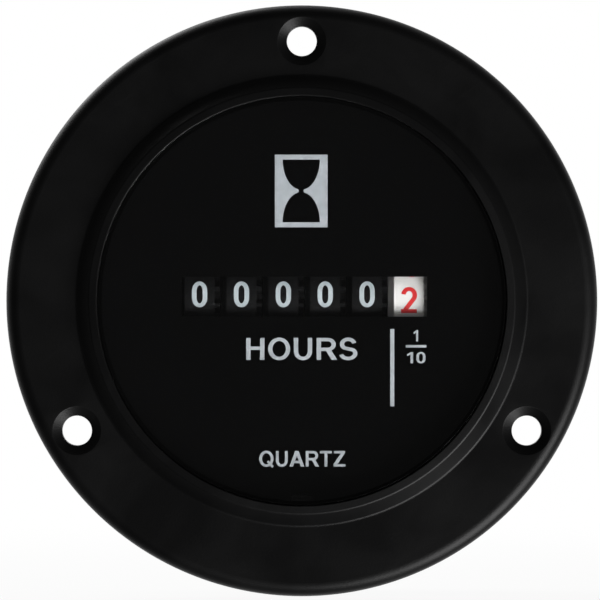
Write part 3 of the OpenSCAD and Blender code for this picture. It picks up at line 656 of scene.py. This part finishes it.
# The case and the lens are turned finer than the solids, so that rounded edges catch the light.
# Sizes in mm and degrees; depths count forwards from the back of the flange.
caseShell = {
    "flangeR": 35.535, "flangeT": 3.6, "flangeRound": 1.6, "footR": 27.05, "footRound": 0.45,
    "topR": 25.62, "crest": 5.295, "crestRound": 0.4, "landFall": 0.08, "landRound": 0.1,
    "seatR": 24.6, "seatFloor": 2.65, "lipR": 24.08, "dialFront": 1.85, "boreR": 24.4,
    "barrelR": 25.9, "barrelEnd": -27.79, "edgeRound": 0.15, "hold": 0.06, "turns": 256, "arcSteps": 12,
    "holes": 3, "firstHole": 90.0, "holeCircle": 31.2, "holeR": 1.8, "holeStart": -1.0, "holeTurns": 72,
    "sinkR": 2.9, "sinkTilt": 55.0, "lipRound": 0.2, "lipOut": 0.06, "lipArc": (124.5, 95.0), "lipSteps": 5,
    "sinkEnd": (0.5, 0.045), "keyW": 2.4, "keyH": 1.0, "keyRoot": 0.75, "keyEnd": -24.19, "smooth": 24.0,
}
lensDisc = {
    "radius": 24.55, "front": 4.95, "back": 3.15, "bevel": 0.1, "round": 0.03, "ease": 0.009, "hold": 0.02,
    "middle": 0.4, "turns": 192, "smooth": 30.0,
}


def turnedMesh(name, outline, turns, closed=True, across=0.0, up=0.0):  # outline: radius and depth
    points, faces = [], []
    for i in range(turns):
        a = 2 * math.pi * i / turns
        c, s = math.cos(a), math.sin(a)
        points += [((across + r * c) * mm, -z * mm, (up + r * s) * mm) for r, z in outline]
    count = len(outline)
    for i in range(turns):
        here, there = i * count, (i + 1) % turns * count
        for j in range(count if closed else count - 1):
            k = (j + 1) % count
            faces.append((here + j, there + j, there + k, here + k))
    if not closed:  # an open outline gets a flat face at each end
        faces.append(tuple(i * count for i in range(turns))[::-1])
        faces.append(tuple(i * count + count - 1 for i in range(turns)))
    piece = meshObject(name, points, faces)
    bm = bmesh.new()
    bm.from_mesh(piece.data)
    bmesh.ops.recalc_face_normals(bm, faces=bm.faces)
    bm.to_mesh(piece.data)
    bm.free()
    return piece


def roundedOutline(corners, steps, hold):  # radius, depth and rounding; hold rings keep the flats flat
    outline, count = [], len(corners)
    for i, (r, z, rounding) in enumerate(corners):
        corner = Vector((r, z))
        if not rounding:
            outline.append((r, z))
            continue
        before = (Vector(corners[i - 1][:2]) - corner).normalized()
        after = (Vector(corners[(i + 1) % count][:2]) - corner).normalized()
        half = before.angle(after) / 2
        reach = rounding / math.tan(half)
        middle = corner + (before + after).normalized() * rounding / math.sin(half)
        first, last = corner + before * reach - middle, corner + after * reach - middle
        outline.append(tuple(corner + before * (reach + hold)))
        turn = first.angle_signed(last)
        for k in range(steps + 1):
            a = math.atan2(first.y, first.x) - turn * k / steps
            outline.append((middle.x + rounding * math.cos(a), middle.y + rounding * math.sin(a)))
        outline.append(tuple(corner + after * (reach + hold)))
    return outline


def caseOutline(d):
    corners = [
        (d["boreR"], d["barrelEnd"], 0), (d["barrelR"], d["barrelEnd"], d["edgeRound"]),
        (d["barrelR"], 0, 0), (d["flangeR"], 0, d["edgeRound"]),
        (d["flangeR"], d["flangeT"], d["flangeRound"]), (d["footR"], d["flangeT"], d["footRound"]),
        (d["topR"], d["crest"] - d["landFall"], d["crestRound"]), (d["seatR"], d["crest"], d["landRound"]),
        (d["seatR"], d["seatFloor"], 0), (d["lipR"], d["seatFloor"], 0),
        (d["lipR"], d["dialFront"], 0), (d["boreR"], d["dialFront"], 0),
    ]
    return roundedOutline(corners, d["arcSteps"], d["hold"])


def sinkOutline(d):  # a screw hole, its cone, and a softened lip
    depth = (d["sinkR"] - d["holeR"]) / math.tan(math.radians(d["sinkTilt"]))
    outline = [(d["holeR"], d["holeStart"]), (d["holeR"], d["flangeT"] - depth)]
    r, z = d["sinkR"] + d["lipOut"], d["flangeT"] - d["lipRound"]
    start, end = d["lipArc"]
    for i in range(d["lipSteps"] + 1):
        a = math.radians(start + (end - start) * i / d["lipSteps"])
        outline.append((r + d["lipRound"] * math.cos(a), z + d["lipRound"] * math.sin(a)))
    (lastR, lastZ), (out, up) = outline[-1], d["sinkEnd"]
    return outline + [(lastR + out, lastZ + up)]


def plainMesh(piece):  # the piece as its modifiers leave it
    bpy.context.view_layer.update()
    ready = piece.evaluated_get(bpy.context.evaluated_depsgraph_get())
    return bpy.data.meshes.new_from_object(ready)


def combined(piece, tool, operation):
    step = piece.modifiers.new("step", "BOOLEAN")
    step.operation, step.solver, step.object = operation, "EXACT", tool
    mesh = plainMesh(piece)
    piece.modifiers.clear()
    piece.data = mesh
    bpy.data.objects.remove(tool)


def softEdged(piece, angle):
    piece.data.polygons.foreach_set("use_smooth", [True] * len(piece.data.polygons))
    piece.data.set_sharp_from_angle(angle=math.radians(angle))
    piece.data.update()


def keyBlock(d):  # the rib in the bore that holds the dial from turning
    x, front, rear = d["keyW"] / 2 * mm, -d["dialFront"] * mm, -d["keyEnd"] * mm
    floor, top = (-d["boreR"] - d["keyRoot"]) * mm, (d["keyH"] - d["boreR"]) * mm
    corners = [(side, y, z) for side in (-x, x) for y in (front, rear) for z in (floor, top)]
    sides = [(0, 1, 3, 2), (4, 6, 7, 5), (0, 4, 5, 1), (2, 3, 7, 6), (0, 2, 6, 4), (1, 5, 7, 3)]
    return meshObject("key", corners, sides)


def casePiece(d):
    piece = turnedMesh("case_shell", caseOutline(d), d["turns"])
    combined(piece, keyBlock(d), "UNION")
    for i in range(d["holes"]):
        a = math.radians(d["firstHole"] + 360 * i / d["holes"])
        across, up = d["holeCircle"] * math.cos(a), d["holeCircle"] * math.sin(a)
        hole = turnedMesh("hole", sinkOutline(d), d["holeTurns"], False, across, up)
        combined(piece, hole, "DIFFERENCE")
    piece.data.name = piece.name
    softEdged(piece, d["smooth"])
    finishPiece(piece, "case", finishes["case_black"])
    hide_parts("bezel_case")


def lensPiece(d):
    r, front, back = d["radius"], d["front"], d["back"]
    small, ease, hold = d["round"], d["ease"], d["hold"]
    shoulder = r - d["bevel"]
    outline = [
        (d["middle"], back), (r - small - hold, back), (r - small, back), (r, back + small),
        (r, front - d["bevel"] - small), (r - ease, front - d["bevel"]), (shoulder, front - ease),
        (shoulder - small, front), (shoulder - small - hold, front), (d["middle"], front),
    ]
    piece = turnedMesh("lens_disc", outline, d["turns"], False)
    softEdged(piece, d["smooth"])
    finishPiece(piece, "case", finishes["lens_clear"])
    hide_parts("lens")
    piece.visible_shadow = False  # light passes the clear lens on its way to the dial


casePiece(caseShell)
lensPiece(lensDisc)
print("case and lens done")


# Boxes on the dial in mm, as it is read: left, right, foot, top
dialPrint = {
    "lift": 0.012, "bar": (10.63, 11.12, -12.68, -3.39), "fraction": (12.5, 14.97, -5.62, -5.32),
    "words": {
        "HOURS": (-6.68, 6.7, -7.1, -4.46), "QUARTZ": (-5.12, 5.25, -19.93, -18.05),
        "1": (13.45, 14.0, -4.88, -3.53), "10": (12.67, 14.87, -7.5, -6.17),
    },
    "sign": (-3.24, 3.1, 8.84, 17.57), "signEnd": 0.6, "bulb": 2.235, "neck": 0.3, "neckShare": 0.035,
    "curveSteps": 44,
}


def rectangle(box):
    left, right, foot, top = box
    return bar(left, foot, right, top)


def hourglassSign(d):  # a bright panel with a dark hourglass left open in it
    left, right, foot, top = d["sign"]
    low, high = foot + d["signEnd"], top - d["signEnd"]
    mid, middle, reach = (left + right) / 2, (low + high) / 2, (high - low) / 2
    quads = bar(left, foot, right, low) + bar(left, high, right, top)
    heights = [low + (high - low) * i / d["curveSteps"] for i in range(d["curveSteps"] + 1)]

    def half(z):  # half width of the dark glass: round bulbs that meet in a thin neck
        t = abs(z - middle) / reach
        if t <= d["neckShare"]:
            return d["neck"]
        rise = (1 - t) / (1 - d["neckShare"])
        return max(d["neck"], d["bulb"] * math.sqrt(max(0.0, 1 - rise ** 2)))

    for a, b in zip(heights, heights[1:]):
        quads.append([(left, a), (mid - half(a), a), (mid - half(b), b), (left, b)])
        quads.append([(mid + half(a), a), (right, a), (right, b), (mid + half(b), b)])
    return quads


def dialPrintPiece(d):
    quads = rectangle(d["bar"]) + rectangle(d["fraction"]) + hourglassSign(d)
    for letters, box in d["words"].items():
        quads += printedWord(letters, box)
    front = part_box("dial")[0][1] - d["lift"] * mm
    points, faces = inkSheet(quads)
    piece = meshObject("dial_print", [(x * mm, front, z * mm) for x, z in points], faces)
    finishPiece(piece, "case", makeInk("dialInk", dialInkLook))


dialPrintPiece(dialPrint)
print("dial print done")


# Ten digits laid round each number wheel by one node tree, in mm and degrees
digitDrum = {
    "width": 1.84, "height": 3.05, "stroke": 0.2, "raised": 2.3,
    "tenthsWidth": 1.92, "tenthsHeight": 3.12, "tenthsStroke": 0.19, "tenthsShown": 2, "tenthsLowered": 3.6,
    "lift": 0.015, "step": 36.0, "cuts": 2,
    "centres": {"tenths": 12.9, "ones": 7.86, "tens": 2.82, "hundreds": -2.22, "thousands": -7.26,
                "ten_thousands": -12.3},
}


def digitDrumTree():
    tree = bpy.data.node_groups.new("digitDrum", "GeometryNodeTree")
    ask = tree.interface.new_socket
    ask(name="Geometry", in_out="OUTPUT", socket_type="NodeSocketGeometry")
    for label, kind in (("Digits", "Collection"), ("Drum Radius", "Float"), ("Step", "Float"),
                        ("First Turn", "Float"), ("Centre", "Vector"), ("Cuts", "Int"), ("Ink", "Material")):
        ask(name=label, in_out="INPUT", socket_type="NodeSocket" + kind)
    given = tree.nodes.new("NodeGroupInput").outputs
    radius = given["Drum Radius"]

    # the digits in a flat column, one step of the rim apart
    down = maths(tree, "MULTIPLY", maths(tree, "MULTIPLY", radius, given["Step"]), -1.0)
    offset = put(tree, "ShaderNodeCombineXYZ", {1: down})
    line = put(tree, "GeometryNodeMeshLine", {"Count": 10, "Offset": offset.outputs[0]})
    digits = put(tree, "GeometryNodeCollectionInfo", {
        "Collection": given["Digits"], "Separate Children": True, "Reset Children": True})
    index = tree.nodes.new("GeometryNodeInputIndex")
    laid = put(tree, "GeometryNodeInstanceOnPoints", {
        "Points": line.outputs[0], "Instance": digits.outputs[0], "Pick Instance": True,
        "Instance Index": index.outputs[0]})
    real = put(tree, "GeometryNodeRealizeInstances", {"Geometry": laid.outputs[0]})
    fine = put(tree, "GeometryNodeSubdivideMesh", {"Mesh": real.outputs[0], "Level": given["Cuts"]})

    # rolled round the wheel, forwards being -Y
    place = tree.nodes.new("GeometryNodeInputPosition").outputs[0]
    flat = put(tree, "ShaderNodeSeparateXYZ", {0: place}).outputs
    angle = maths(tree, "SUBTRACT", given["First Turn"], maths(tree, "DIVIDE", flat[1], radius))
    ahead = maths(tree, "MULTIPLY", maths(tree, "SINE", angle), radius)
    front = maths(tree, "MULTIPLY", ahead, -1.0)
    up = maths(tree, "MULTIPLY", maths(tree, "COSINE", angle), radius)
    rolled = put(tree, "ShaderNodeCombineXYZ", {0: flat[0], 1: front, 2: up})
    placed = put(tree, "ShaderNodeVectorMath", {0: rolled.outputs[0], 1: given["Centre"]}, operation="ADD")
    wrapped = put(tree, "GeometryNodeSetPosition", {
        "Geometry": fine.outputs[0], "Position": placed.outputs[0]})
    whole = put(tree, "GeometryNodeRealizeInstances", {"Geometry": wrapped.outputs[0]})
    inked = put(tree, "GeometryNodeSetMaterial", {"Geometry": whole.outputs[0], "Material": given["Ink"]})
    put(tree, "NodeGroupOutput", {0: inked.outputs[0]})
    return tree


def digitSheet(name, width, height, stroke):  # the ten flat digits that a drum picks from
    sheet = bpy.data.collections.new(name)
    letterStroke["upright"] = stroke
    across, up = width / letterStroke["digitWidth"] * mm, height * mm
    for digit in "0123456789":
        quads, span = glyph(digit)
        points, faces = inkSheet(quads)
        mesh = bpy.data.meshes.new(name + digit)
        mesh.from_pydata([((x - span / 2) * across, (y - 0.5) * up, 0.0) for x, y in points], [], faces)
        sheet.objects.link(bpy.data.objects.new(name + digit, mesh))
    return sheet


def bakeTree(name, tree, values):  # runs a node tree and keeps the result as a plain mesh
    carrier = meshObject(name + "_carrier", [(0, 0, 0)], [])
    modifier = carrier.modifiers.new("made", "NODES")
    modifier.node_group = tree
    for item in tree.interface.items_tree:
        if item.item_type == "SOCKET" and item.in_out == "INPUT":
            modifier[item.identifier] = values[item.name]
    mesh = plainMesh(carrier)
    mesh.name = name
    bpy.data.objects.remove(carrier)
    piece = bpy.data.objects.new(name, mesh)
    scene.collection.objects.link(piece)
    return piece


def digitDrums(d):
    tree = digitDrumTree()
    whiteInk, redInk = makeInk("digitInk", digitInkLook), makeInk("tenthsInk", tenthsInkLook)
    plain = digitSheet("digit", d["width"], d["height"], d["stroke"])
    tenths = digitSheet("tenthsDigit", d["tenthsWidth"], d["tenthsHeight"], d["tenthsStroke"])
    axis = next(j for j in frame["joints"] if j["name"] == "tenths_wheel_turn")["pos_m"]
    for place, centre in d["centres"].items():
        low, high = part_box("number_wheel_" + place)
        sheet, ink, firstTurn = plain, whiteInk, 90 - d["raised"]
        if place == "tenths":
            sheet, ink = tenths, redInk
            firstTurn = 90 + d["tenthsLowered"] - d["tenthsShown"] * d["step"]
        piece = bakeTree("digits_" + place, tree, {
            "Digits": sheet,
            "Drum Radius": (high[2] - low[2]) / 2 + d["lift"] * mm,
            "Step": math.radians(d["step"]),
            "First Turn": math.radians(firstTurn),
            "Centre": (centre * mm, axis[1], axis[2]),
            "Cuts": d["cuts"],
            "Ink": ink,
        })
        finishPiece(piece, place + "_wheel", ink)
    for sheet in (plain, tenths):
        for flat in list(sheet.objects):
            bpy.data.objects.remove(flat)
        bpy.data.collections.remove(sheet)


digitDrums(digitDrum)
print("digit drums done")


# Raised signs beside the terminals on the rear cover, in mm
coverSign = {
    "length": 3.4, "stroke": 0.8, "rise": 0.35, "root": 0.05, "side": 9.5, "up": 7.2, "round": 0.12,
    "roundSteps": 3, "collar": 1.2,
}


def raisedSign(name, x, plus, d):
    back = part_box("rear_cover")[1][1] - d["collar"] * mm  # the collars stand behind the cover's face
    h, s = d["length"] / 2, d["stroke"] / 2
    outline = [(-h, -s), (h, -s), (h, s), (-h, s)]
    if plus:
        outline = [(-h, -s), (-s, -s), (-s, -h), (s, -h), (s, -s), (h, -s),
                   (h, s), (s, s), (s, h), (-s, h), (-s, s), (-h, s)]
    bm = bmesh.new()
    base = [bm.verts.new(((x + px) * mm, back - d["root"] * mm, (d["up"] + pz) * mm)) for px, pz in outline]
    raised = bmesh.ops.extrude_face_region(bm, geom=[bm.faces.new(base)])
    lifted = [item for item in raised["geom"] if isinstance(item, bmesh.types.BMVert)]
    bmesh.ops.translate(bm, verts=lifted, vec=(0, (d["rise"] + d["root"]) * mm, 0))
    bmesh.ops.recalc_face_normals(bm, faces=bm.faces)
    top = [edge for edge in bm.edges if all(vert in lifted for vert in edge.verts)]
    bmesh.ops.bevel(bm, geom=top, offset=d["round"] * mm, segments=d["roundSteps"], affect="EDGES", profile=0.5)
    piece = meshObject(name, [], [])
    bm.to_mesh(piece.data)
    bm.free()
    finishPiece(piece, "case", byNode["rear_cover"])


raisedSign("positive_sign", coverSign["side"], True, coverSign)
raisedSign("negative_sign", -coverSign["side"], False, coverSign)
print("terminal signs done")


# Floor, room and soft boxes in metres and degrees; the camera's frame in pixels and mm
studio = {
    "floorDrop": 0.00005, "floorSize": 3.0, "floorPaint": (0.84, 0.88), "floorRoughness": 0.8,
    "floorFade": (0.05, 0.35), "floorShine": (0.93, 1.0),
    "room": (0.036, 0.19, 0.6), "roomStops": (0.25, 0.5, 0.75), "wallEdge": (0.5, 0.9),
    "lowBox": {"across": -48, "offAxis": 52, "distance": 0.6, "size": 0.42, "power": 4.3},
    "topBox": {"across": 125, "offAxis": 122, "distance": 0.9, "size": 0.7, "power": 4.0},
    "camera": 1.0, "sensor": 36, "pixelsPerMm": 8.315, "rimDepth": 2.0, "centre": (301.8, 300.8), "image": 600,
}


def seenShare(tree, share):  # 1 for what the eye meets first, and the share asked in gloss and glass
    path = put(tree, "ShaderNodeLightPath").outputs
    either = maths(tree, "MAXIMUM", path["Is Glossy Ray"], path["Is Transmission Ray"])
    return maths(tree, "MAXIMUM", path["Is Camera Ray"], maths(tree, "MULTIPLY", either, share))


def floorMaterial(d):  # near white paint that takes a shadow by the object and fades into the wall
    material, tree, shader, place = newMaterial("floorWhite")
    dark, bright = (grey(level) for level in d["floorPaint"])
    feed(tree, shader, {"Base Color": mixColour(tree, noise(tree, place, 3.0, 2.0), dark, bright),
                        "Roughness": d["floorRoughness"]})
    glow = put(tree, "ShaderNodeEmission", {"Color": grey(1), "Strength": 1.0})
    (near, far), (low, high) = d["floorFade"], d["floorShine"]
    fade = put(tree, "ShaderNodeMapRange", {
        "Value": distance(tree, place), "From Min": near, "From Max": far, "To Min": low, "To Max": high},
        interpolation_type="SMOOTHSTEP")
    share = maths(tree, "MULTIPLY", seenShare(tree, 0.0), fade.outputs[0])
    mix = put(tree, "ShaderNodeMixShader", {0: share, 1: shader.outputs[0], 2: glow.outputs[0]})
    feed(tree, tree.nodes["Material Output"], {"Surface": mix.outputs[0]})
    return material


def studioWorld(d):  # a white wall to the eye, and behind the object in gloss; a room that is dim in front
    world = bpy.data.worlds.new("studioWorld")
    world.use_nodes = True
    tree = world.node_tree
    room = tree.nodes["Background"]
    white = put(tree, "ShaderNodeBackground", {"Color": grey(1), "Strength": 1.0})
    toward = put(tree, "ShaderNodeTexCoord").outputs["Generated"]
    depth = put(tree, "ShaderNodeSeparateXYZ", {0: toward}).outputs[1]
    ramp = put(tree, "ShaderNodeValToRGB", {"Fac": ranged(tree, depth, -1.0, 1.0)})
    ramp.color_ramp.interpolation = "EASE"
    for stop, level in zip(d["roomStops"], d["room"]):
        ramp.color_ramp.elements.new(stop).color = grey(level)
    for end in (0, -1):
        ramp.color_ramp.elements[end].color = grey(d["room"][end])
    feed(tree, room, {"Color": ramp.outputs[0]})
    share = seenShare(tree, ranged(tree, depth, *d["wallEdge"]))
    mix = put(tree, "ShaderNodeMixShader", {0: share, 1: room.outputs[0], 2: white.outputs[0]})
    feed(tree, tree.nodes["World Output"], {"Surface": mix.outputs[0]})
    return world


def softLight(name, d):  # placed by its turn from the right and its tilt from the camera's line
    lamp = bpy.data.lights.new(name, "AREA")
    lamp.shape = "RECTANGLE"
    lamp.size = lamp.size_y = d["size"]
    lamp.energy = d["power"]
    light = bpy.data.objects.new(name, lamp)
    scene.collection.objects.link(light)
    a, t = math.radians(d["across"]), math.radians(d["offAxis"])
    place = Vector((math.sin(t) * math.cos(a), -math.cos(t), math.sin(t) * math.sin(a))) * d["distance"]
    light.location = place
    light.rotation_euler = (-place).to_track_quat("-Z", "Y").to_euler()


def studioFloor(d):
    z, wide = cadBox[0][2] - d["floorDrop"], d["floorSize"] / 2
    corners = [(-wide, -wide, z), (wide, -wide, z), (wide, wide, z), (-wide, wide, z)]
    floor = meshObject("floor", corners, [(0, 1, 2, 3)])
    floor.data.materials.append(floorMaterial(d))
    for kind in ("shadow", "diffuse", "glossy", "transmission"):  # the low box shines up past the floor
        setattr(floor, "visible_" + kind, False)


def studioCamera(d):
    view = bpy.data.cameras.new("camera")
    camera = bpy.data.objects.new("camera", view)
    scene.collection.objects.link(camera)
    camera.location = (0, -d["camera"], 0)
    camera.rotation_euler = (math.radians(90), 0, 0)
    view.sensor_width = d["sensor"]
    rimDistance = d["camera"] / mm - d["rimDepth"]  # to the rim's widest circle, in mm
    view.lens = d["pixelsPerMm"] * rimDistance / d["image"] * d["sensor"]
    view.shift_x, view.shift_y = (0.5 - d["centre"][0] / d["image"], d["centre"][1] / d["image"] - 0.5)
    view.clip_start, view.clip_end = 0.01, 20
    return camera


studioFloor(studio)
for box in ("lowBox", "topBox"):
    softLight(box, studio[box])
scene.world = studioWorld(studio)
scene.camera = studioCamera(studio)
print("studio set")
